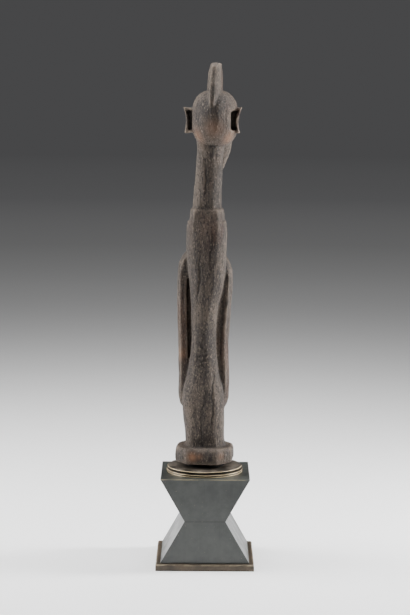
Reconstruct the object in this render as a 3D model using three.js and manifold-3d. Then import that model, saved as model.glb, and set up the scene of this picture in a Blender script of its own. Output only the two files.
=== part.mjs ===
// A carved wooden ancestor figure, on two thin discs and a waisted plinth.
// Millimetres, +Z up. The origin is the middle of the plate's underside. The figure faces -Y.
import * as THREE from "three";
import { mergeVertices } from "three/addons/utils/BufferGeometryUtils.js";
import Module from "manifold-3d";

const wasm = await Module();
wasm.setup();

// The stand, from the ground up
const plate = { side: 150, height: 10, bevel: 1.2 };
const plinth = { side: 136, waist: 62, height: 130 };
const plinthFoot = plate.height;
const plinthTop = plinthFoot + plinth.height;
const discs = { x: 1, sides: 48, bead: 0.7 };
const lowerDisc = { radius: 58, height: 4.5 };
const upperDisc = { radius: 57, boss: 50, gap: 3, height: 6, step: 1.2, stepWidth: 6 };
const spacer = { radius: 31, height: 6.5, sides: 32 };

// The figure
const figureFoot = plinthTop + lowerDisc.height + upperDisc.height + spacer.height;
const turn = THREE.MathUtils.degToRad(-5);
const footDisc = { x: 1.5, halfWidth: 43.5, halfDepth: 43, height: 24, bevel: 3 };
const torsoTop = 527;
const collar = { x: -0.3, foot: 26.6, head: 24.6, height: 20, bevel: 2.4 };
const head = { x: -10.9, y: -6, z: 682, halfWidth: 35.7, halfDepth: 46, halfHeight: 44, fullness: 2.5 };
const face = { x: -8, eyeZ: 671, eyeGap: 12.5, browZ: 681, noseZ: 651, mouthZ: 639 };

// Stations of the trunk, upwards: height, left side, right side, back, front
const trunk = [
  [170, 29.5, -28.3, 25, -26],
  [200, 30.5, -28, 25, -27],
  [243, 34.9, -27.9, 27, -27],
  [266, 33.7, -26, 27.5, -25],
  [292, 27.8, -19, 23, -24],
  [341, 21.9, -14, 20, -25],
  [396, 22.9, -17, 20.5, -25],
  [432, 25.1, -25.4, 22.5, -26],
  [482, 29.9, -29.6, 25, -27],
  [522, 29.8, -30.1, 25.5, -26],
  [torsoTop, 28.2, -28.6, 24, -24.5],
];
// Stations of the neck, which leans towards -X
const neck = [
  [540, 21.3, -21.3, 19, -20],
  [580, 18.6, -22, 18.5, -19.5],
  [612, 16, -23, 18, -19],
  [655, 13, -24, 18, -20],
];
// Stations of the face, down to the pointed beard: height, half width, half depth, middle in y
const faceStations = [
  [590, 3.5, 3, -45],
  [598, 9, 6, -44.5],
  [606, 14, 9, -43],
  [620, 20, 14.5, -38.5],
  [634, 25.5, 20.5, -32.5],
  [650, 28, 25.5, -27.5],
  [670, 29.5, 28, -24.5],
  [690, 27, 26, -22.5],
  [706, 18, 19, -20],
];
// The arms: outer edges upwards from the pointed tips, width of the band that faces backwards, and how far
// back the wood between arm and trunk lies beside each of them
const arms = [
  {
    side: 1,
    thick: 16,
    besideTrunk: -9,
    besideArm: -3,
    outer: [
      [233, 33.5],
      [241, 40],
      [252, 43.4],
      [290, 43.6],
      [364, 45.1],
      [414, 46.1],
      [463, 43.2],
      [484, 30],
    ],
  },
  {
    side: -1,
    thick: 10,
    besideTrunk: 5,
    besideArm: -9,
    outer: [
      [233, 26.5],
      [241, 31.5],
      [253, 34.8],
      [290, 35.6],
      [340, 34],
      [389, 37.4],
      [451, 39.2],
      [475, 29],
    ],
  },
];
const arm = { rear: 2, front: -25, webFront: -22, crease: 0.5, tipDepth: 0.45 };
const hand = { fingers: 4, radius: 2.7, pitch: 5, length: 20, z: 262 };
const crest = {
  rootRadius: 30,
  strip: 6.8,
  bevel: 9,
  top: 84,
  // Angle from straight back, radius from the middle of the head, thickness, middle in x
  spine: [
    [12, 45, 9.6, -8.6],
    [30, 53, 13, -9.2],
    [50, 68, 17.5, -10.6],
    [68, 84, 18, -11.8],
    [80, 93, 15, -12.5],
    [97, 93, 15, -12.6],
    [114, 82, 16, -12.4],
    [132, 68, 15, -11.8],
    [150, 54, 12, -11],
    [162, 47, 9, -10.5],
  ],
};
const ears = [
  { root: 18, waist: 32, top: 36.5, foot: 34.5, hollow: 22.5 },
  { root: -36, waist: -47.6, top: -53.2, foot: -50.2, hollow: -36.5 },
];
const ear = { top: 700, waistZ: 680, foot: 660, rear: 10, depth: 16, blade: 4.2, lip: 4, reach: 45 };

// A closed skin over equal rings of points, with a fan over the first and the last
function loft(rings) {
  const count = rings[0].length;
  const corners = rings.flat();
  const faces = [];
  for (let row = 0; row < rings.length - 1; row++) {
    for (let i = 0; i < count; i++) {
      const a = row * count + i;
      const b = row * count + ((i + 1) % count);
      faces.push([a, b, b + count], [a, b + count, a + count]);
    }
  }
  const last = (rings.length - 1) * count;
  for (let i = 1; i < count - 1; i++) {
    faces.push([0, i + 1, i], [last, last + i, last + i + 1]);
  }
  const volume = faces.reduce((sum, [a, b, c]) => {
    const [p, q, r] = [a, b, c].map((k) => new THREE.Vector3(...corners[k]));
    return sum + p.dot(q.cross(r));
  }, 0);
  const outward = volume > 0 ? faces : faces.map(([a, b, c]) => [a, c, b]);
  const skin = new THREE.BufferGeometry();
  skin.setAttribute("position", new THREE.Float32BufferAttribute(corners.flat(), 3));
  skin.setIndex(outward.flat());
  return skin;
}

function solid(geometry) {
  const bare = geometry.clone();
  bare.deleteAttribute("normal");
  bare.deleteAttribute("uv");
  const merged = mergeVertices(bare);
  const vertProperties = new Float32Array(merged.attributes.position.array);
  const triVerts = new Uint32Array(merged.index.array);
  return new wasm.Manifold(new wasm.Mesh({ numProp: 3, vertProperties, triVerts }));
}

function skinOf(body) {
  const { vertProperties, triVerts } = body.getMesh();
  const geometry = new THREE.BufferGeometry();
  geometry.setAttribute("position", new THREE.BufferAttribute(vertProperties, 3));
  geometry.setIndex(new THREE.BufferAttribute(triVerts, 1));
  return geometry;
}

// Sizes at height z, on a smooth curve through stations that are listed upwards
function sizesAt(stations, z) {
  let k = 0;
  while (k < stations.length - 2 && stations[k + 1][0] <= z) k++;
  const at = (i) => stations[Math.min(stations.length - 1, Math.max(0, i))];
  const [before, low, high, after] = [at(k - 1), at(k), at(k + 1), at(k + 2)];
  const step = high[0] - low[0];
  const t = (z - low[0]) / step;
  return low.slice(1).map((size, i) => {
    const j = i + 1;
    const lowSlope = ((high[j] - before[j]) / (high[0] - before[0])) * step;
    const highSlope = ((after[j] - low[j]) / (after[0] - low[0])) * step;
    const drift = high[j] - size;
    return (
      size +
      t * lowSlope +
      t * t * (3 * drift - 2 * lowSlope - highSlope) +
      t * t * t * (lowSlope + highSlope - 2 * drift)
    );
  });
}

// Heights from low to high in about equal steps
function levels(low, high, step) {
  const count = Math.ceil((high - low) / step);
  return Array.from({ length: count + 1 }, (_, i) => low + ((high - low) * i) / count);
}

// An eight-sided section with a flat back and bevelled corners, and a point on each side
function facetRing(z, left, right, back, front, flat = 0.66, side = 0.45) {
  const [cx, cy] = [(left + right) / 2, (back + front) / 2];
  const [hx, hy] = [(left - right) / 2, (back - front) / 2];
  const corners = [
    [hx, -side * hy],
    [hx, side * hy],
    [flat * hx, hy],
    [-flat * hx, hy],
    [-hx, side * hy],
    [-hx, -side * hy],
    [-flat * hx, -hy],
    [flat * hx, -hy],
  ];
  const swell = 1.02;
  return corners.flatMap(([x, y], i) => {
    const [nx, ny] = corners[(i + 1) % corners.length];
    return [
      [cx + x, cy + y, z],
      [cx + (swell * (x + nx)) / 2, cy + (swell * (y + ny)) / 2, z],
    ];
  });
}

function roundRing(cx, cy, z, hx, hy, count) {
  return Array.from({ length: count }, (_, i) => {
    const angle = (2 * Math.PI * i) / count;
    return [cx + hx * Math.cos(angle), cy + hy * Math.sin(angle), z];
  });
}

function plateSkin() {
  const half = plate.side / 2;
  const inner = half - plate.bevel;
  const square = (h, z) => [
    [h, -h, z],
    [h, h, z],
    [-h, h, z],
    [-h, -h, z],
  ];
  return loft([
    square(half, 0),
    square(half, plate.height - plate.bevel),
    square(inner, plate.height),
  ]);
}

// The hourglass profile, seen along Y, pushed out to the plinth's depth
function plinthSkin() {
  const [half, waist] = [plinth.side / 2, plinth.waist / 2];
  const middle = plinthFoot + plinth.height / 2;
  const outline = new THREE.Shape([
    new THREE.Vector2(-half, plinthFoot),
    new THREE.Vector2(half, plinthFoot),
    new THREE.Vector2(waist, middle),
    new THREE.Vector2(half, plinthTop),
    new THREE.Vector2(-half, plinthTop),
    new THREE.Vector2(-waist, middle),
  ]);
  const skin = new THREE.ExtrudeGeometry(outline, { depth: plinth.side, bevelEnabled: false });
  return skin.rotateX(Math.PI / 2).translate(0, plinth.side / 2, 0);
}

// A turned piece, from its [radius, height] profile that starts and ends on the axis
function turned(profile, foot, sides) {
  const points = profile.map(([radius, height]) => new THREE.Vector2(radius, height));
  const skin = new THREE.LatheGeometry(points, sides);
  return skinOf(solid(skin.rotateX(Math.PI / 2).translate(discs.x, 0, foot)));
}

// The lower disc has a bright bead along its upper and its lower edge
function lowerDiscSkin() {
  const { radius, height } = lowerDisc;
  const neckRadius = radius - discs.bead;
  return turned(
    [
      [0, 0],
      [radius, 0],
      [radius, 2 * discs.bead],
      [neckRadius, 2 * discs.bead],
      [neckRadius, height - 2 * discs.bead],
      [radius, height - 2 * discs.bead],
      [radius, height],
      [0, height],
    ],
    plinthTop,
    discs.sides,
  );
}

// The upper disc overhangs its boss, which leaves the dark gap, and is stepped inside its rim
function upperDiscSkin() {
  const { radius, boss, gap, height, step, stepWidth } = upperDisc;
  return turned(
    [
      [0, 0],
      [boss, 0],
      [boss, gap],
      [radius, gap],
      [radius, height - step],
      [radius - stepWidth, height],
      [0, height],
    ],
    plinthTop + lowerDisc.height,
    discs.sides,
  );
}

function spacerSkin() {
  const { radius, height, sides } = spacer;
  const foot = figureFoot - height;
  return turned([[0, 0], [radius, 0], [radius, height], [0, height]], foot, sides);
}

function footDiscSkin() {
  const { x, halfWidth, halfDepth, height, bevel } = footDisc;
  const top = figureFoot + height;
  const section = (z, inset) =>
    facetRing(z, x + halfWidth - inset, x - halfWidth + inset, halfDepth - inset, inset - halfDepth, 0.54);
  const worn = 1;
  return loft([
    section(figureFoot, worn),
    section(figureFoot + 2 * worn, 0),
    section(top - bevel, 0),
    section(top, bevel),
  ]);
}

function trunkSkin() {
  return loft(levels(trunk[0][0], torsoTop, 13).map((z) => facetRing(z, ...sizesAt(trunk, z))));
}

function collarSkin() {
  const { x, foot, head: top, height, bevel } = collar;
  const depth = 0.88;
  const section = (z, h) => facetRing(z, x + h, x - h, depth * h, -depth * h, 0.7, 0.5);
  const rim = torsoTop + height;
  return loft([section(torsoTop - 6, foot), section(rim - bevel, top), section(rim, top - bevel)]);
}

function neckSkin() {
  const top = neck[neck.length - 1][0];
  return loft(levels(neck[0][0], top, 14).map((z) => facetRing(z, ...sizesAt(neck, z), 0.52, 0.5)));
}

// A full, slightly squared ball, which overhangs the neck
function headSkin() {
  const { x, y, z, halfWidth, halfDepth, halfHeight, fullness } = head;
  const [rows, around] = [18, 28];
  return loft(
    Array.from({ length: rows + 1 }, (_, i) => {
      const rise = -Math.cos((Math.PI * (i + 0.15)) / (rows + 0.3));
      const width = (1 - Math.abs(rise) ** fullness) ** (1 / fullness);
      return roundRing(x, y, z + rise * halfHeight, width * halfWidth, width * halfDepth, around);
    }),
  );
}

function faceSkin() {
  const [low, high] = [faceStations[0][0], faceStations[faceStations.length - 1][0]];
  return loft(
    levels(low, high, 8).map((z) => {
      const [hx, hy, cy] = sizesAt(faceStations, z);
      return roundRing(face.x, cy, z, hx, hy, 20);
    }),
  );
}

// A tapered bar between two points, thick along its own upright and sideways directions
function bar(from, to, startSize, endSize, sides = 8) {
  const [start, end] = [new THREE.Vector3(...from), new THREE.Vector3(...to)];
  const along = end.clone().sub(start).normalize();
  const across = new THREE.Vector3(0, 1, 0).cross(along).normalize();
  const outward = along.clone().cross(across);
  const ring = (middle, [wide, deep]) =>
    Array.from({ length: sides }, (_, i) => {
      const angle = (2 * Math.PI * i) / sides;
      return middle
        .clone()
        .addScaledVector(across, wide * Math.cos(angle))
        .addScaledVector(outward, deep * Math.sin(angle))
        .toArray();
    });
  const inset = (size) => size.map((s) => s * 0.6);
  const tip = Math.min(...startSize) * 0.6;
  return loft([
    ring(start.clone().addScaledVector(along, -tip), inset(startSize)),
    ring(start, startSize),
    ring(end, endSize),
    ring(end.clone().addScaledVector(along, tip), inset(endSize)),
  ]);
}

// How far forward the face is at height z, a distance dx from its middle line
function faceFront(z, dx) {
  const [hx, hy, cy] = sizesAt(faceStations, z);
  return cy - hy * Math.sqrt(1 - (dx / hx) ** 2);
}

// A calm, closed face: brows, long nose, lidded eyes and small lips
function featureSkins() {
  const { x, eyeZ, eyeGap, browZ, noseZ, mouthZ } = face;
  const lidded = (side) =>
    new THREE.SphereGeometry(1, 14, 8)
      .rotateX(Math.PI / 2)
      .scale(7.4, 4, 3.9)
      .translate(x + side * eyeGap, faceFront(eyeZ, eyeGap) + 1.4, eyeZ);
  const point = (dx, z, sink) => [x + dx, faceFront(z, Math.abs(dx)) + sink, z];
  const brow = (side) => [
    bar(point(side * 3.5, browZ, 0.8), point(side * 13, browZ + 2.6, 0.8), [2.2, 2.6], [2.2, 2.6]),
    bar(point(side * 13, browZ + 2.6, 0.8), point(side * 22, browZ - 2, 1.5), [2.2, 2.6], [1.5, 1.8]),
  ];
  const nose = bar(point(0, browZ, 2), point(0, noseZ + 2, -2.5), [2.6, 3.6], [5, 6]);
  const lip = (z, wide) => bar(point(-wide, z, 1.4), point(wide, z, 1.4), [1.7, 2.8], [1.7, 2.8]);
  return [lidded(1), lidded(-1), ...brow(1), ...brow(-1), nose, lip(mouthZ + 2.2, 6.2), lip(mouthZ - 2.2, 5)];
}

// Narrow slits between the eyelids
function slitSkins() {
  const { x, eyeZ, eyeGap } = face;
  return [-1, 1].map((side) => {
    const slit = new THREE.BoxGeometry(11, 4, 1.1);
    return slit.translate(x + side * eyeGap, faceFront(eyeZ, eyeGap) - 2.2, eyeZ);
  });
}

// A fin over the head, with a narrow back edge, bevelled flanks and a flat top
function crestSkin() {
  const { rootRadius, strip, bevel, top, spine } = crest;
  return loft(
    spine.map(([degrees, radius, thick, x]) => {
      const angle = THREE.MathUtils.degToRad(degrees);
      const ceiling = top / Math.sin(angle);
      const tip = Math.min(radius, ceiling);
      const shoulder = Math.min(Math.max(rootRadius + 1, radius - bevel), ceiling - 1);
      const at = (r, half) => [x + half, head.y + r * Math.cos(angle), head.z + r * Math.sin(angle)];
      return [
        at(rootRadius, thick / 2),
        at(shoulder, thick / 2),
        at(tip, strip / 2),
        at(tip, -strip / 2),
        at(shoulder, -thick / 2),
        at(rootRadius, -thick / 2),
      ];
    }),
  );
}

// An upright plate with a hollowed outer edge, from a root inside the head
function earOutline(root, waist, top, foot, upper, lower) {
  const outline = new THREE.Shape();
  outline.moveTo(root, lower + 1.5);
  outline.lineTo(foot, lower);
  outline.quadraticCurveTo(2 * waist - (top + foot) / 2, ear.waistZ, top, upper);
  outline.lineTo(root, upper - 2.5);
  return outline;
}

function standing(outline, rear, depth) {
  const skin = new THREE.ExtrudeGeometry(outline, { depth, bevelEnabled: false, curveSegments: 8 });
  return skin.rotateX(Math.PI / 2).translate(0, rear, 0);
}

function earSkin({ root, waist, top, foot }) {
  return standing(earOutline(root, waist, top, foot, ear.top, ear.foot), ear.rear, ear.depth);
}

// The hollow behind an ear, which also bites a little into the head
function earHollowSkin({ waist, top, foot, hollow }) {
  const inward = -Math.sign(waist) * ear.blade;
  const [upper, lower] = [ear.top - ear.lip, ear.foot + ear.lip];
  const outline = earOutline(hollow, waist + inward, top + inward, foot + inward, upper, lower);
  return standing(outline, ear.reach, ear.reach - ear.rear + ear.depth / 2);
}

// The broad outer band of an arm, which runs down into a point
function bandSkin({ side, outer, thick }) {
  const [low, high] = [outer[0][0], outer[outer.length - 1][0]];
  const { rear, front, tipDepth } = arm;
  return loft(
    levels(low, high, 11).map((z) => {
      const [edge] = sizesAt(outer, z);
      const fill = tipDepth + (1 - tipDepth) * Math.min(1, (z - low) / 40, (high - z + 12) / 40);
      const middle = (rear + front) / 2;
      const wide = Math.max(9, Math.min(thick, edge - 12));
      const at = (x, y) => [side * x, middle + (y - middle) * fill, z];
      return [
        at(edge - 2, front + 4),
        at(edge, front + 14),
        at(edge - 1.5, rear - 7),
        at(edge - 5.5, rear),
        at(edge - wide, rear - 1),
        at(edge - wide - 1, front),
        at(edge - 6, front),
      ];
    }),
  );
}

// The wood between arm and trunk, which slopes down into the crease beside one of them
function webSkin({ side, outer, thick, besideTrunk, besideArm }) {
  const [low, high] = [outer[1][0], outer[outer.length - 1][0] - 4];
  const { webFront, crease } = arm;
  return loft(
    levels(low, high, 17).map((z) => {
      const reach = sizesAt(outer, z)[0] - thick / 2;
      const [left, right] = sizesAt(trunk, z);
      const trunkSide = (side > 0 ? left : -right) + crease;
      return [
        [side * Math.min(trunkSide, reach - 1), besideTrunk, z],
        [0, besideTrunk, z],
        [0, webFront, z],
        [side * reach, webFront, z],
        [side * reach, besideArm, z],
      ];
    }),
  );
}

// Forearm and fingers, laid on the belly from each side
function handSkins({ side, outer }) {
  const wrist = [side * 19, -27, hand.z + 30];
  const elbowZ = hand.z + 86;
  const elbow = [side * (sizesAt(outer, elbowZ)[0] - 12), -21, elbowZ];
  const forearm = bar(elbow, wrist, [7, 6], [6, 5]);
  const palm = bar(wrist, [side * 13, -27.5, hand.z + 8], [6, 4.5], [8.5, 3.5]);
  const fingers = Array.from({ length: hand.fingers }, (_, i) => {
    const x = side * (5.5 + i * hand.pitch);
    const tip = hand.z - hand.length + Math.abs(i - 1) * 2.5;
    return bar([x, -26.5, hand.z + 10], [x - side, -26, tip], [2.7, hand.radius], [2.2, 2.2], 6);
  });
  return [forearm, palm, ...fingers];
}

// The groove between the legs and the two low feet, on the front
function legGroove() {
  const depth = 7;
  const wedge = (z) => [
    [0.5, -27 + depth, z],
    [-4, -36, z],
    [5, -36, z],
  ];
  return loft([wedge(192), wedge(236)]);
}

function footSkins() {
  const z = figureFoot + footDisc.height + 1;
  return [-1, 1].map((side) => bar([1 + side * 13, -20, z + 5], [1 + side * 13.5, -35, z], [8, 6], [8, 3.5]));
}

function figureSkin() {
  const added = [
    trunkSkin(),
    collarSkin(),
    neckSkin(),
    headSkin(),
    faceSkin(),
    ...featureSkins(),
    crestSkin(),
    ...ears.map(earSkin),
    ...arms.flatMap((one) => [bandSkin(one), webSkin(one), ...handSkins(one)]),
    ...footSkins(),
  ];
  const removed = [...slitSkins(), ...ears.map(earHollowSkin), legGroove()];
  const whole = added.reduce((sum, skin) => sum.add(solid(skin)), solid(footDiscSkin()));
  const carved = removed.reduce((rest, skin) => rest.subtract(solid(skin)), whole);
  return skinOf(carved).rotateZ(turn);
}

function piece(name, geometry, color, roughness, metalness) {
  const mesh = new THREE.Mesh(geometry, new THREE.MeshStandardMaterial({ color, roughness, metalness }));
  mesh.name = name;
  return mesh;
}

const whole = new THREE.Group();
whole.add(
  piece("base_plate", plateSkin(), 0x4b4137, 0.55, 0.2),
  piece("plinth_body", plinthSkin(), 0x3c3e3c, 0.4, 0.2),
  piece("lower_disc", lowerDiscSkin(), 0x5d5546, 0.4, 0.7),
  piece("upper_disc", upperDiscSkin(), 0x5a524a, 0.45, 0.6),
  piece("spacer_block", spacerSkin(), 0x0b0a0a, 0.8, 0),
  piece("ancestor_figure", figureSkin(), 0x5a5048, 0.6, 0),
);

export default whole;
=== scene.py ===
import math

import bmesh
import bpy
import numpy as np
from mathutils import Matrix, Vector, noise


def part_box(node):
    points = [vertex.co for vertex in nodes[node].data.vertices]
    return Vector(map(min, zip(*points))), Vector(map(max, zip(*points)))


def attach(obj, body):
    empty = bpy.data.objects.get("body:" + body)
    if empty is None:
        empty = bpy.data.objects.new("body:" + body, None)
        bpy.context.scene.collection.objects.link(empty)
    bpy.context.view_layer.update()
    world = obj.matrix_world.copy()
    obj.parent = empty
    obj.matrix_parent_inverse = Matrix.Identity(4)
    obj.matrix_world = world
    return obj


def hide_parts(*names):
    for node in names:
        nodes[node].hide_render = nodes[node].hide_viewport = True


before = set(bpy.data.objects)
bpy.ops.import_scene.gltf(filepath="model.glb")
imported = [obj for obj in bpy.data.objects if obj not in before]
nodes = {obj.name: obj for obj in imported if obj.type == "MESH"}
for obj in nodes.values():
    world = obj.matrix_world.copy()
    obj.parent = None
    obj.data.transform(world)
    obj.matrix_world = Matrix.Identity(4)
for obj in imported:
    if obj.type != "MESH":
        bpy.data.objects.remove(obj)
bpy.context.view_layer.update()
mm = 0.001
print("frame loaded")


# One value in a shader, so that plain arithmetic on it adds the nodes
class Signal:
    def __init__(self, tree, socket):
        self.tree = tree
        self.socket = socket

    def node(self, kind, settings=None, sockets=None, output=0):
        made = self.tree.nodes.new(kind)
        for key, value in (settings or {}).items():
            if key == "stops":
                fillRamp(made.color_ramp, value)
            else:
                setattr(made, key, value)
        for key, value in (sockets or {}).items():
            if isinstance(value, Signal):
                self.tree.links.new(value.socket, made.inputs[key])
            else:
                made.inputs[key].default_value = value
        return Signal(self.tree, made.outputs[output])

    def pair(self, operation, first, second):
        return self.node("ShaderNodeMath", {"operation": operation}, {0: first, 1: second})

    def __add__(self, other):
        return self.pair("ADD", self, other)

    def __radd__(self, other):
        return self.pair("ADD", other, self)

    def __sub__(self, other):
        return self.pair("SUBTRACT", self, other)

    def __rsub__(self, other):
        return self.pair("SUBTRACT", other, self)

    def __mul__(self, other):
        return self.pair("MULTIPLY", self, other)

    def __rmul__(self, other):
        return self.pair("MULTIPLY", other, self)

    # Eases from one level to another while the value runs from low to high
    def span(self, low, high, toLow=0.0, toHigh=1.0):
        sockets = {"Value": self, "From Min": low, "From Max": high, "To Min": toLow, "To Max": toHigh}
        return self.node("ShaderNodeMapRange", {"interpolation_type": "SMOOTHSTEP"}, sockets)

    def axis(self, name):
        return self.node("ShaderNodeSeparateXYZ", {}, {0: self}, "XYZ".index(name))

    def size(self):
        return self.node("ShaderNodeMath", {"operation": "ABSOLUTE"}, {0: self})

    def near(self, value, reach):
        return (self - value).size().span(0.0, reach, 1.0, 0.0)


def fillRamp(ramp, stops):
    while len(ramp.elements) > 1:
        ramp.elements.remove(ramp.elements[-1])
    for index, (place, colour) in enumerate(stops):
        element = ramp.elements[0] if index == 0 else ramp.elements.new(place)
        element.position = place
        element.color = (*colour, 1)


def startMaterial(name, metallic=0.0, specular=0.5):
    material = bpy.data.materials.new(name)
    material.use_nodes = True
    tree = material.node_tree
    shader = tree.nodes["Principled BSDF"]
    shader.inputs["Metallic"].default_value = metallic
    shader.inputs["Specular IOR Level"].default_value = specular
    place = Signal(tree, tree.nodes.new("ShaderNodeTexCoord").outputs["Object"])
    return material, shader, place


def feed(shader, name, signal):
    signal.tree.links.new(signal.socket, shader.inputs[name])


def cloud(place, scale, detail, stretch=(1, 1, 1), rough=0.55):
    moved = place.node("ShaderNodeMapping", {}, {"Vector": place, "Scale": stretch})
    sockets = {"Vector": moved, "Scale": scale, "Detail": detail, "Roughness": rough}
    return place.node("ShaderNodeTexNoise", {}, sockets)


def blend(factor, first, second):
    # 0 is the mix's factor, 6 and 7 are its two colours
    sockets = {0: factor, 6: first if isinstance(first, Signal) else (*first, 1), 7: (*second, 1)}
    return factor.node("ShaderNodeMix", {"data_type": "RGBA"}, sockets, 2)


def relief(height, strength, distance):
    return height.node("ShaderNodeBump", {}, {"Strength": strength, "Distance": distance, "Height": height})


def paintedBy(place, name):
    return place.node("ShaderNodeAttribute", {"attribute_name": name}, {}, 2)


woodLook = {
    "deep": (0.006, 0.0048, 0.004),
    "body": (0.03, 0.021, 0.016),
    "grey": (0.088, 0.067, 0.051),
    "red": (0.062, 0.024, 0.013),
    "warm": (0.27, 0.13, 0.065),
    "worn": (0.3, 0.235, 0.18),
    "redCover": 0.6,
    "grainCover": 0.6,
    "crustCover": 0.85,
    "fleckCover": 0.42,
    "relief": 1.7 * mm,
    # Patterns: scale, detail, stretch along x, y and z, roughness
    "patches": (30, 6, (1, 1, 0.5), 0.65),
    "grain": (240, 6, (1, 1, 0.12), 0.7),
    "crust": (330, 5, (1, 1, 0.55), 0.75),
    "flecks": (620, 3, (1, 1, 0.4)),
    "redness": (19, 3, (1, 1, 0.35)),
}


def makeWood():
    look = woodLook
    material, shader, place = startMaterial("figureWood", specular=0.32)
    patches = cloud(place, *look["patches"])
    grain = cloud(place, *look["grain"])
    crust = cloud(place, *look["crust"])
    flecks = cloud(place, *look["flecks"])
    redness = cloud(place, *look["redness"])
    colour = blend(patches.span(0.36, 0.64), look["body"], look["grey"])
    colour = blend(redness.span(0.5, 0.68) * look["redCover"], colour, look["red"])
    colour = blend(grain.span(0.48, 0.62) * look["grainCover"], colour, look["deep"])
    colour = blend(crust.span(0.52, 0.62) * look["crustCover"], colour, look["deep"])
    colour = blend(flecks.span(0.56, 0.68) * look["fleckCover"], colour, look["worn"])
    # Warm patches: mostly the wood's own colour, but on the lower sides of the head painted light
    colour = blend(paintedBy(place, "warm") * (0.45 + grain * 0.6), colour, look["warm"])
    # The figure's worn paint lightens convex edges: partly real wear, partly painted highlight where the side
    # lamps catch them
    rubbed = paintedBy(place, "worn") * (0.5 + crust.span(0.35, 0.6) * 0.5)
    colour = blend(rubbed, colour, look["worn"])
    # Painted shade in creases and troughs, with the dark ink strokes and the cracks, all towards the deep
    # colour
    colour = blend(paintedBy(place, "creaseShadeInkAndCracks"), colour, look["deep"])
    feed(shader, "Base Color", colour)
    feed(shader, "Roughness", (patches * 0.25 + crust * 0.35).span(0.15, 0.45, 0.46, 0.8))
    feed(shader, "Normal", relief(grain * 0.5 + crust * 1.3 + flecks * 0.4, 1.0, look["relief"]))
    return material


patinaLook = {
    "dark": (0.02, 0.023, 0.021),
    "light": (0.046, 0.05, 0.045),
    "edge": (0.3, 0.25, 0.15),
    "seam": (0.008, 0.009, 0.008),
    "edgeReach": 1.6 * mm,
    "seamReach": 2.2 * mm,
}


def makePatina():
    look = patinaLook
    material, shader, place = startMaterial("plinthPatina", metallic=0.15, specular=0.6)
    mist = cloud(place, 30, 6, (1, 1, 1), 0.65)
    brushed = cloud(place, 500, 3, (1, 1, 0.02))
    specks = cloud(place, 420, 2)
    rubbed = cloud(place, 70, 3)
    low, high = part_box("plinth_body")
    upper = place.axis("Z").near(high[2], look["edgeReach"])
    edge = upper * place.axis("Y").size().near(high[0], look["edgeReach"])  # as deep as it is wide
    seam = place.axis("Z").near((low[2] + high[2]) / 2, look["seamReach"])
    colour = blend(mist.span(0.32, 0.68), look["dark"], look["light"])
    colour = blend(brushed.span(0.5, 0.7) * 0.25, colour, look["light"])
    colour = blend(seam * 0.6, colour, look["seam"])
    colour = blend(specks.span(0.72, 0.78) * 0.5, colour, look["edge"])
    colour = blend(edge * rubbed.span(0.3, 0.6), colour, look["edge"])
    feed(shader, "Base Color", colour)
    feed(shader, "Roughness", mist.span(0.3, 0.7, 0.28, 0.45))
    feed(shader, "Normal", relief(brushed + mist * 0.5, 0.12, 0.5 * mm))
    return material


plateLook = {
    "dark": (0.04, 0.03, 0.02),
    "light": (0.105, 0.08, 0.055),
    "grit": (0.02, 0.015, 0.01),
    "worn": (0.4, 0.33, 0.22),
}


def makePlateMetal():
    look = plateLook
    material, shader, place = startMaterial("plateMetal", metallic=0.3)
    mist = cloud(place, 45, 5)
    grit = cloud(place, 520, 3)
    chipped = cloud(place, 85, 4)
    colour = blend(mist.span(0.3, 0.7), look["dark"], look["light"])
    colour = blend(grit.span(0.55, 0.72) * 0.5, colour, look["grit"])
    rubbed = paintedBy(place, "worn") * (0.25 + chipped.span(0.45, 0.6) * 0.75)
    colour = blend(rubbed, colour, look["worn"])
    feed(shader, "Base Color", colour)
    feed(shader, "Roughness", mist.span(0.3, 0.7, 0.36, 0.6))
    feed(shader, "Normal", relief(grit + chipped, 0.3, 0.5 * mm))
    return material


discLook = {"dark": (0.05, 0.043, 0.034), "light": (0.15, 0.125, 0.1), "stain": (0.02, 0.018, 0.014)}


def makeDiscMetal():
    look = discLook
    material, shader, place = startMaterial("discMetal", metallic=0.55)
    mist = cloud(place, 60, 5)
    stains = cloud(place, 150, 3)
    colour = blend(mist.span(0.35, 0.65), look["dark"], look["light"])
    colour = blend(stains.span(0.55, 0.7) * 0.4, colour, look["stain"])
    feed(shader, "Base Color", colour)
    feed(shader, "Roughness", mist.span(0.3, 0.7, 0.3, 0.55))
    feed(shader, "Normal", relief(stains, 0.05, 0.3 * mm))
    return material


brassLook = {"bright": (0.62, 0.5, 0.3), "dull": (0.2, 0.15, 0.09)}


def makeBrightBrass():
    material, shader, place = startMaterial("brightBrass", metallic=0.6)
    dulled = cloud(place, 38, 2)
    feed(shader, "Base Color", blend(dulled.span(0.5, 0.75), brassLook["bright"], brassLook["dull"]))
    feed(shader, "Roughness", dulled.span(0.3, 0.7, 0.4, 0.55))
    return material


blackLook = {"clean": (0.003, 0.003, 0.003), "dusty": (0.012, 0.011, 0.01)}


def makeBlack():
    material, shader, place = startMaterial("spacerBlack", specular=0.2)
    dust = cloud(place, 300, 3)
    feed(shader, "Base Color", blend(dust.span(0.55, 0.75), blackLook["clean"], blackLook["dusty"]))
    feed(shader, "Roughness", dust.span(0.3, 0.7, 0.7, 0.9))
    return material


# A node's mesh is loose triangles, so its copy is joined up first
def mergedCopy(nodeName, name):
    mesh = nodes[nodeName].data.copy()
    mesh.name = name
    work = bmesh.new()
    work.from_mesh(mesh)
    bmesh.ops.remove_doubles(work, verts=work.verts, dist=0.001 * mm)
    work.to_mesh(mesh)
    work.free()
    mesh.materials.clear()
    piece = bpy.data.objects.new(name, mesh)
    bpy.context.scene.collection.objects.link(piece)
    return piece


def applied(piece):
    graph = bpy.context.evaluated_depsgraph_get()
    mesh = bpy.data.meshes.new_from_object(piece.evaluated_get(graph))
    piece.modifiers.clear()
    piece.data = mesh
    return piece


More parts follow.
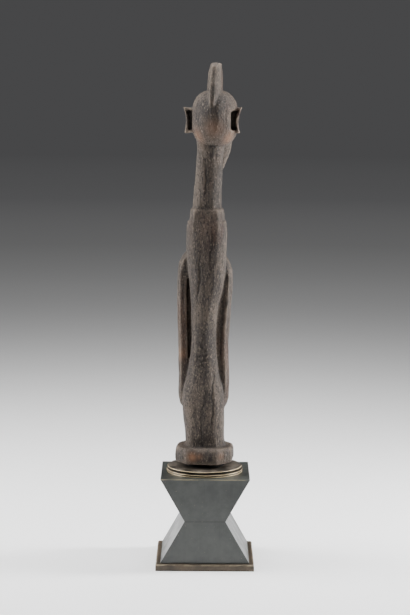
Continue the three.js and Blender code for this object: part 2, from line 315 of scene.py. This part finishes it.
def remeshed(piece, voxel):
    step = piece.modifiers.new("skin", "REMESH")
    step.mode = "VOXEL"
    step.voxel_size = voxel
    return applied(piece)


edgeFinish = {"segments": 2, "bevelAbove": 25, "sharpAbove": 20}  # angles in degrees


def bevelled(piece, width):
    step = piece.modifiers.new("edges", "BEVEL")
    step.width = width
    step.segments = edgeFinish["segments"]
    step.limit_method = "ANGLE"
    step.angle_limit = math.radians(edgeFinish["bevelAbove"])
    piece = applied(piece)
    piece.data.shade_smooth()
    piece.data.set_sharp_from_angle(angle=math.radians(edgeFinish["sharpAbove"]))
    return piece


def readPoints(mesh):
    points = np.empty(len(mesh.vertices) * 3)
    mesh.vertices.foreach_get("co", points)
    normals = np.empty(len(mesh.vertices) * 3)
    mesh.vertex_normals.foreach_get("vector", normals)
    edges = np.empty(len(mesh.edges) * 2, dtype=np.int64)
    mesh.edges.foreach_get("vertices", edges)
    return points.reshape(-1, 3), normals.reshape(-1, 3), edges.reshape(-1, 2)


def writePoints(mesh, points):
    mesh.vertices.foreach_set("co", points.ravel())
    mesh.update()


# Draws each value towards the mean of its neighbours along the mesh, again and again
def averaged(values, edges, rounds, share=0.5):
    count = len(values)
    flat = values.reshape(count, -1)
    degree = np.bincount(edges.ravel(), minlength=count)[:, None]
    for turn in range(rounds):
        total = np.empty_like(flat)
        for column in range(flat.shape[1]):
            total[:, column] = np.bincount(edges[:, 0], flat[edges[:, 1], column], count)
            total[:, column] += np.bincount(edges[:, 1], flat[edges[:, 0], column], count)
        flat = flat * (1 - share) + share * total / degree
    return flat.reshape(values.shape)


def paint(mesh, name, values):
    layer = mesh.attributes.new(name, "FLOAT", "POINT")
    layer.data.foreach_set("value", np.clip(values, 0, 1).astype(np.float32))


def noiseAt(points, scale, seed):
    shift = Vector((seed, seed * 0.7, seed * 1.3))
    size = Vector(scale)
    return np.array([noise.noise(Vector(p) * size + shift) for p in points])


def facetsAt(points, scale):
    size = Vector(scale)
    return np.array([noise.voronoi(Vector(p) * size)[0][0] for p in points])


def segmentDistance(flat, start, end):
    start, end = np.array(start), np.array(end)
    along = end - start
    share = np.clip(((flat - start) @ along) / (along @ along), 0, 1)
    return np.linalg.norm(flat - (start + share[:, None] * along), axis=1)


# How far each point lies from a centre in mm, in radii
def radiiFrom(points, centre, radius):
    return np.linalg.norm(points - np.array(centre) * mm, axis=1) / (radius * mm)


def hold(piece, nodeName=None):
    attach(piece, "root")
    if nodeName:
        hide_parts(nodeName)


figure = {
    "voxel": 1.6 * mm,
    "skinRounds": 2,
    "bulgeRounds": 14,
    # Tool marks, grain and swelling: depth, scale, and a seed for the noise
    "facetDepth": 0.75 * mm,
    "facetScale": (62, 62, 34),
    "facetMiddle": 0.42,
    "grain": (0.28 * mm, (420, 420, 40), 3.1),
    "swelling": (0.35 * mm, (120, 120, 60), 7.7),
    "crestStart": 722 * mm,
    "crestShare": 0.2,
    "crackDepth": 1.1 * mm,
    # Noise and outward bulge for the lightened edges, partly wear and partly painted highlight
    "edgeWearAndHighlightNoise": ((160, 160, 60), 1.9),
    "convexWearAndHighlight": 1.1 * mm,
    # Inward bulge at which a crease is fully darkened as painted shade
    "concaveShade": 0.9 * mm,
    # Strands on the beard: depth, radians of wave for each metre, front limit in y, low and high z
    "beardDepth": 0.35 * mm,
    "beardWaves": 2400,
    "beardFront": -30 * mm,
    "beardHeights": (588 * mm, 630 * mm),
    # Height of the resting face, which stays flat, and the run above it over which the carving fades in
    "seat": 158 * mm,
    "seatRun": 2 * mm,
}
# Rounded stretches of the carving: low z, high z, run-in, front limit in y and push outwards, in mm, then the
# rounds of smoothing
roundings = [(190, 518, 10, 4, 1.3, 150), (552, 642, 8, -6, 1.3, 150), (157, 189, 2, -60, 0.4, 25)]
frontRun = 8  # mm over which a rounding fades in behind its front limit
# Long drying cracks on the back: x at the low end, x at the high end, low z, high z, all in mm
cracks = [(8, 4, 186, 262), (-9, -12, 200, 300), (13, 9, 396, 486), (-6, -8, 452, 520), (3, 1, 556, 626)]
# Warm patches: centre and radius in mm, and how strong the colour shows. The two on the lower sides of the
# head are painted light where the side lamps fall; the rest are the wood's own warmer colour
warmPatches = [
    (20, 40, 169, 7, 1.0),
    (9, 41, 170, 5, 0.6),
    (-22, 38, 170, 6, 0.5),
    (38, -6, 322, 9, 0.55),
    # painted light on the lower left and right of the head
    (17, 22, 655, 12, 0.5),
    (-34, 22, 652, 12, 0.6),
    (-10, 40, 668, 14, 0.35),
]
# Chipped places: centre, radius and depth in mm
chips = [(45, -9, 318, 5.5, 2.4), (-36, 0, 279, 4, 1.6), (44, 10, 176, 6, 1.6), (-40, 14, 172, 7, 1.8)]
# Short incised strokes on the back: a long slanted one with rows of leaning ones under it, low down, and one
# higher up. Depth, width and highest are in metres, the rest in mm
strokes = {
    "depth": 0.8 * mm,
    "width": 0.8 * mm,
    "slanted": ((15, 343), (-1, 328)),
    "rows": (322, 314.5, 307),
    "columns": 4,
    "firstX": 13.5,
    "step": 4.4,
    "lean": 1.6,
    "above": 2.4,
    "below": 2,
    "shoulder": ((16, 455), (4, 454.4)),
    "highest": 500 * mm,
}


def roundForm(points, normals, edges):
    crisp = averaged(points, edges, figure["skinRounds"])
    shaped = crisp.copy()
    height = points[:, 2] / mm
    for low, high, runIn, front, push, rounds in roundings:
        share = np.clip((height - low) / runIn, 0, 1) * np.clip((high - height) / runIn, 0, 1)
        share *= np.clip((points[:, 1] / mm - front) / frontRun, 0, 1)
        change = averaged(points, edges, rounds) - crisp
        change[:, 2] = 0
        shaped += change * share[:, None] + normals * (1, 1, 0) * (push * mm * share)[:, None]
    return shaped


def strokeLines():
    lines = [strokes["slanted"], strokes["shoulder"]]
    for row, height in enumerate(strokes["rows"]):
        for column in range(strokes["columns"]):
            lean = strokes["lean"] if (row + column) % 2 else -strokes["lean"]
            x = strokes["firstX"] - column * strokes["step"]
            lines.append(((x - lean, height + strokes["above"]), (x + lean, height - strokes["below"])))
    return [[(x * mm, z * mm) for x, z in line] for line in lines]


def strokeShare(points, back):
    marks = np.zeros(len(points))
    for start, end in strokeLines():
        gone = segmentDistance(points[:, [0, 2]], start, end) / strokes["width"]
        marks = np.maximum(marks, np.exp(-(gone**2)) * back * (points[:, 2] < strokes["highest"]))
    return marks


def crackShare(points, back):
    split = np.zeros(len(points))
    x, height = points[:, 0] / mm, points[:, 2] / mm
    for lowX, highX, lowZ, highZ in cracks:
        share = np.clip((height - lowZ) / (highZ - lowZ), 0, 1)
        wander = 1.4 * np.sin(height * 0.11 + lowX) + 0.7 * np.sin(height * 0.37)
        gap = np.abs(x - (lowX + (highX - lowX) * share) - wander)
        width = 1.3 * np.sin(math.pi * share) + 0.05  # mm, widest half way up
        split = np.maximum(split, np.exp(-((gap / width) ** 2)) * back * (share > 0) * (share < 1))
    return split


def warmShare(points):
    warm = np.zeros(len(points))
    for x, y, z, radius, strength in warmPatches:
        warm = np.maximum(warm, strength * np.exp(-(radiiFrom(points, (x, y, z), radius) ** 2)))
    return warm


def toolDepth(points, marks, split):
    depth = figure["facetDepth"] * (figure["facetMiddle"] - facetsAt(points, figure["facetScale"]))
    for size, scale, seed in (figure["grain"], figure["swelling"]):
        depth += size * noiseAt(points, scale, seed)
    depth *= np.where(points[:, 2] > figure["crestStart"], figure["crestShare"], 1.0)
    low, high = figure["beardHeights"]
    beard = (points[:, 1] < figure["beardFront"]) & (points[:, 2] > low) & (points[:, 2] < high)
    depth -= figure["beardDepth"] * np.clip(np.sin(points[:, 0] * figure["beardWaves"]), -0.2, 1) * beard
    depth -= strokes["depth"] * marks + figure["crackDepth"] * split
    for x, y, z, radius, deep in chips:
        depth -= deep * mm * np.exp(-(radiiFrom(points, (x, y, z), radius) ** 2) * 1.5)
    return depth * np.clip((points[:, 2] - figure["seat"]) / figure["seatRun"], 0, 1)


def carveFigure(material):
    piece = remeshed(mergedCopy("ancestor_figure", "carved_figure"), figure["voxel"])
    mesh = piece.data
    writePoints(mesh, roundForm(*readPoints(mesh)))
    points, normals, edges = readPoints(mesh)
    away = averaged(points, edges, figure["bulgeRounds"])
    bulge = np.einsum("ij,ij->i", points - away, normals)  # out on edges, in along creases
    back = np.clip((normals[:, 1] - 0.15) * 4, 0, 1)
    marks, split = strokeShare(points, back), crackShare(points, back)
    carved = points + normals * toolDepth(points, marks, split)[:, None]
    low, high = (np.array(corner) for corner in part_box("ancestor_figure"))
    writePoints(mesh, np.clip(carved, low, high))
    # Convex edges are lightened: partly real wear, partly painted highlight where the side lamps catch them
    rubbed = np.clip(0.6 + noiseAt(points, *figure["edgeWearAndHighlightNoise"]), 0, 1)
    wornAndLitEdge = np.clip(bulge / figure["convexWearAndHighlight"] - 0.12, 0, 1) * rubbed
    # Painted shade: creases and troughs, found by the inward bulge, darken towards the deep wood colour, and
    # the incised strokes add their dark ink
    creaseShade = np.clip(-bulge / figure["concaveShade"] - 0.1, 0, 1)
    creaseShadeAndInk = np.maximum(averaged(creaseShade, edges, 2) * 0.6, marks * 0.95)
    paint(mesh, "worn", averaged(wornAndLitEdge, edges, 1))
    paint(mesh, "creaseShadeInkAndCracks", np.maximum(creaseShadeAndInk, split * 0.9))
    paint(mesh, "warm", warmShare(points))
    mesh.shade_smooth()
    mesh.materials.append(material)
    hold(piece, "ancestor_figure")
    print("figure carved,", len(mesh.polygons), "faces")


plate = {
    "voxel": 1.5 * mm,
    "wear": 0.7 * mm,
    "rim": 1.4 * mm,
    "raggedNoise": ((95, 95, 95), 5.2),
    "sharpAbove": 50,  # degrees
}


def finishPlate(material):
    piece = remeshed(mergedCopy("base_plate", "worn_plate"), plate["voxel"])
    mesh = piece.data
    points, normals, edges = readPoints(mesh)
    low, high = (np.array(corner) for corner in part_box("base_plate"))
    points = np.clip(averaged(points, edges, 1), low, high)
    side = np.minimum(high[0] - np.abs(points[:, 0]), high[1] - np.abs(points[:, 1]))
    below = high[2] - points[:, 2]
    edge = np.exp(-((side / plate["rim"]) ** 2)) * np.exp(-((below / plate["rim"]) ** 2))
    ragged = np.clip(noiseAt(points, *plate["raggedNoise"]) + 0.15, 0, 1)
    writePoints(mesh, points - normals * (plate["wear"] * edge * ragged)[:, None])
    paint(mesh, "worn", edge)
    mesh.shade_smooth()
    mesh.set_sharp_from_angle(angle=math.radians(plate["sharpAbove"]))
    mesh.materials.append(material)
    hold(piece, "base_plate")
    print("plate finished")


# Pieces that keep their shape and get finer edges: name, edge width and slot, by node
crisped = {
    "plinth_body": ("waisted_plinth", 0.5 * mm, "plinth_metal"),
    "lower_disc": ("disc_below", 0.25 * mm, "disc_metal"),
    "upper_disc": ("disc_above", 0.3 * mm, "disc_metal"),
    "spacer_block": ("black_spacer", 0.4 * mm, "spacer_black"),
}


def finishEdges(nodeName, material):
    name, width, slot = crisped[nodeName]
    piece = bevelled(mergedCopy(nodeName, name), width)
    piece.data.materials.append(material)
    hold(piece, nodeName)
    print(name, "finished")


rims = {
    "centreX": 1 * mm,
    "wire": 0.45 * mm,
    "around": 192,
    "across": 8,
    # Radius and height of each bead: two on the lower disc, one on the upper
    "beads": [(57.95 * mm, 140.8 * mm), (57.95 * mm, 143.7 * mm), (56.95 * mm, 148.5 * mm)],
}


# A bright bead that follows a circle: radius, height and wire size are the tree's inputs
def rimTree(material):
    tree = bpy.data.node_groups.new("rimBead", "GeometryNodeTree")
    for name in ("Radius", "Height", "Wire"):
        tree.interface.new_socket(name, in_out="INPUT", socket_type="NodeSocketFloat")
    tree.interface.new_socket("Geometry", in_out="OUTPUT", socket_type="NodeSocketGeometry")
    new, link = tree.nodes.new, tree.links.new
    given, result = new("NodeGroupInput"), new("NodeGroupOutput")
    path, profile = new("GeometryNodeCurvePrimitiveCircle"), new("GeometryNodeCurvePrimitiveCircle")
    path.inputs["Resolution"].default_value = rims["around"]
    profile.inputs["Resolution"].default_value = rims["across"]
    sweep, lift = new("GeometryNodeCurveToMesh"), new("ShaderNodeCombineXYZ")
    raised, real = new("GeometryNodeTransform"), new("GeometryNodeRealizeInstances")
    dress = new("GeometryNodeSetMaterial")
    lift.inputs["X"].default_value = rims["centreX"]
    dress.inputs["Material"].default_value = material
    link(given.outputs["Radius"], path.inputs["Radius"])
    link(given.outputs["Wire"], profile.inputs["Radius"])
    link(given.outputs["Height"], lift.inputs["Z"])
    link(path.outputs["Curve"], sweep.inputs["Curve"])
    link(profile.outputs["Curve"], sweep.inputs["Profile Curve"])
    link(sweep.outputs["Mesh"], raised.inputs["Geometry"])
    link(lift.outputs["Vector"], raised.inputs["Translation"])
    link(raised.outputs["Geometry"], real.inputs["Geometry"])
    link(real.outputs["Geometry"], dress.inputs["Geometry"])
    link(dress.outputs["Geometry"], result.inputs["Geometry"])
    return tree


def makeRims(material):
    tree = rimTree(material)
    inputs = [item for item in tree.interface.items_tree if item.in_out == "INPUT"]
    sockets = {item.name: item.identifier for item in inputs}
    for index, (radius, height) in enumerate(rims["beads"]):
        piece = bpy.data.objects.new(f"rim_bead_{index + 1}", bpy.data.meshes.new("bead"))
        bpy.context.scene.collection.objects.link(piece)
        step = piece.modifiers.new("bead", "NODES")
        step.node_group = tree
        step[sockets["Radius"]] = radius
        step[sockets["Height"]] = height
        step[sockets["Wire"]] = rims["wire"]
        applied(piece)
        piece.data.shade_smooth()
        hold(piece)
    print("rims made")


studio = {
    "floorRadius": 400,
    "floorSides": 96,
    "floorRoughness": 0.7,
    # The floor's colour, pale in the middle and darkening outwards as painted shade, and its own faint light,
    # from its middle out to this reach in metres
    "reach": 20,
    "pale": [(0, (0.9, 0.9, 0.905)), (0.05, (0.8, 0.8, 0.8)), (0.3, (0.1, 0.1, 0.1)), (0.6, (0.0, 0.0, 0.0))],
    "glow": [
        (0, (0.3, 0.3, 0.3)),
        (0.05, (0.16, 0.16, 0.16)),
        (0.1, (0.11, 0.11, 0.11)),
        (0.2, (0.13, 0.13, 0.13)),
        (0.5, (0.085, 0.085, 0.087)),
        (1, (0.07, 0.07, 0.072)),
    ],
    "world": (0.07, 0.07, 0.072),
}
lamps = {
    "softboxLeft": {"place": (1.4, -0.12, 0.9), "aim": (0, 0, 0.45), "size": (0.9, 1.2), "power": 44},
    "stripRight": {"place": (-1.1, -0.12, 0.75), "aim": (0, 0, 0.45), "size": (0.22, 1.1), "power": 38},
    "softboxTop": {"place": (0.1, -0.2, 2.2), "aim": (0, 0, 0), "size": (1.8, 1.4), "power": 62},
    "fill": {"place": (0.5, 2.8, 1.6), "aim": (0, 0, 0.4), "size": (1.2, 1.0), "power": 3},
}


def makeFloor():
    material, shader, place = startMaterial("paleFloor", specular=0.0)
    shader.inputs["Roughness"].default_value = studio["floorRoughness"]
    length = place.node("ShaderNodeVectorMath", {"operation": "LENGTH"}, {0: place}, 1)
    reach = length * (1 / studio["reach"])
    # Floor colour darkens away from the middle: painted shade
    feed(shader, "Base Color", place.node("ShaderNodeValToRGB", {"stops": studio["pale"]}, {0: reach}))
    feed(shader, "Emission Color", place.node("ShaderNodeValToRGB", {"stops": studio["glow"]}, {0: reach}))
    shader.inputs["Emission Strength"].default_value = 1
    work = bmesh.new()
    sides, radius = studio["floorSides"], studio["floorRadius"]
    bmesh.ops.create_circle(work, cap_ends=True, segments=sides, radius=radius)
    mesh = bpy.data.meshes.new("floor")
    work.to_mesh(mesh)
    work.free()
    mesh.materials.append(material)
    floor = bpy.data.objects.new("floor", mesh)
    bpy.context.scene.collection.objects.link(floor)


def addLamp(name, place, aim, size, power):
    data = bpy.data.lights.new(name, "AREA")
    data.shape = "RECTANGLE"
    data.size, data.size_y = size
    data.energy = power
    lamp = bpy.data.objects.new(name, data)
    lamp.location = place
    lamp.rotation_euler = (Vector(aim) - Vector(place)).to_track_quat("-Z", "Y").to_euler()
    lamp.visible_camera = False
    bpy.context.scene.collection.objects.link(lamp)


def lightStudio():
    world = bpy.data.worlds.new("studio")
    world.use_nodes = True
    world.node_tree.nodes["Background"].inputs["Color"].default_value = (*studio["world"], 1)
    bpy.context.scene.world = world
    for name, lamp in lamps.items():
        addLamp(name, **lamp)


# Lens and sensor in mm, place in metres, pitch down and roll in degrees
view = {"lens": 102.44, "sensor": 36, "place": (0.00192, 2.664, 0.71), "pitch": 6.76, "roll": 0.355}


def addCamera():
    data = bpy.data.cameras.new("camera")
    data.lens = view["lens"]
    data.sensor_width = view["sensor"]
    camera = bpy.data.objects.new("camera", data)
    facing = Matrix.Rotation(math.pi, 4, "Z")
    pitched = Matrix.Rotation(math.radians(90 - view["pitch"]), 4, "X")
    rolled = Matrix.Rotation(math.radians(view["roll"]), 4, "Z")
    camera.matrix_world = Matrix.Translation(view["place"]) @ facing @ pitched @ rolled
    bpy.context.scene.collection.objects.link(camera)
    bpy.context.scene.camera = camera


addCamera()
makeFloor()
lightStudio()
print("studio ready")
discMetal = makeDiscMetal()
finishPlate(makePlateMetal())
finishEdges("plinth_body", makePatina())
finishEdges("lower_disc", discMetal)
finishEdges("upper_disc", discMetal)
finishEdges("spacer_block", makeBlack())
makeRims(makeBrightBrass())
carveFigure(makeWood())
